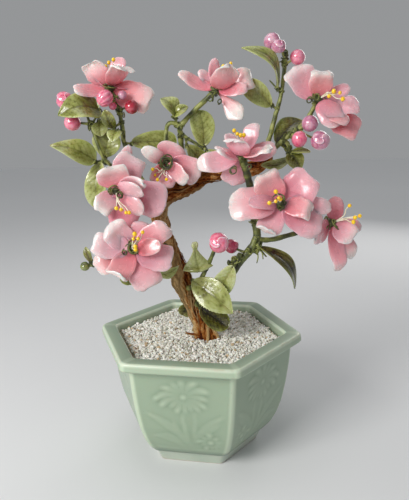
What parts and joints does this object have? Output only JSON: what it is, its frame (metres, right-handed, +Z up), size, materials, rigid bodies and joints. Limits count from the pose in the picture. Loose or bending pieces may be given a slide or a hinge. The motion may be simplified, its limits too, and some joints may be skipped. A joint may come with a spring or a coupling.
{
  "type": "ornamental glass blossom tree in a ceramic pot",
  "caption": "Ornamental jade tree: pink glass blossom, beads and jade-green glass leaves on a twisted trunk, in a hexagonal glazed pot filled with white gravel.",
  "frame": {"origin": "bottom centre of the whole tree's box, on the plane that the pot's foot stands on", "axes": "+Z up, +X to the right as seen from the tree's front, +Y to the back"},
  "size_m": [0.2164, 0.1438, 0.2947],
  "materials": {
    "petal_glass": "milky pink pressed glass, glossy, white at the tips",
    "bead_rose": "swirled rose glass, glossy",
    "bead_deep": "deep red glass, glossy",
    "bead_pale": "pale pink glass with white swirls, glossy",
    "leaf_glass": "cloudy jade-green pressed glass on thread-wrapped wire, glossy",
    "stamen_glass": "yellow glass seeds on white wire, glossy",
    "bark": "fibrous brown bark, matt",
    "gravel": "fine white gravel, matt",
    "celadon": "pale green celadon glaze over moulded relief, glossy"
  },
  "bodies": {
    "root": {"bud_cluster_left": "bead_rose", "bud_cluster_right": "bead_pale", "bud_cluster_upper": "bead_pale", "bud_crest": "bead_pale", "bud_crest_pale": "bead_pale", "bud_crest_right": "bead_rose", "bud_dark_red": "bead_deep", "bud_green_tip": "leaf_glass", "bud_pleated": "bead_rose", "bud_rosette": "bead_rose", "bud_rosette_side": "bead_rose", "bud_round_left": "bead_rose", "bud_small_lower": "bead_rose", "bud_small_upper": "bead_pale", "bud_swirl_left": "bead_rose", "gravel_bed": "gravel", "petals_centre": "petal_glass", "petals_far_right": "petal_glass", "petals_left": "petal_glass", "petals_lower_left": "petal_glass", "petals_nodding": "petal_glass", "petals_right": "petal_glass", "petals_top": "petal_glass", "petals_upper_left": "petal_glass", "petals_upper_right": "petal_glass", "pot": "celadon", "stamens_centre": "stamen_glass", "stamens_far_right": "stamen_glass", "stamens_left": "stamen_glass", "stamens_lower_left": "stamen_glass", "stamens_nodding": "stamen_glass", "stamens_right": "stamen_glass", "stamens_top": "stamen_glass", "stamens_upper_left": "stamen_glass", "stamens_upper_right": "stamen_glass", "stem_crest": "leaf_glass", "stem_front": "leaf_glass", "stem_left": "leaf_glass", "stem_left_bloom": "leaf_glass", "stem_lower_left": "leaf_glass", "stem_rosette": "leaf_glass", "stem_upper": "leaf_glass", "stem_upper_right": "leaf_glass", "trunk": "bark"}
  },
  "joints": []
}
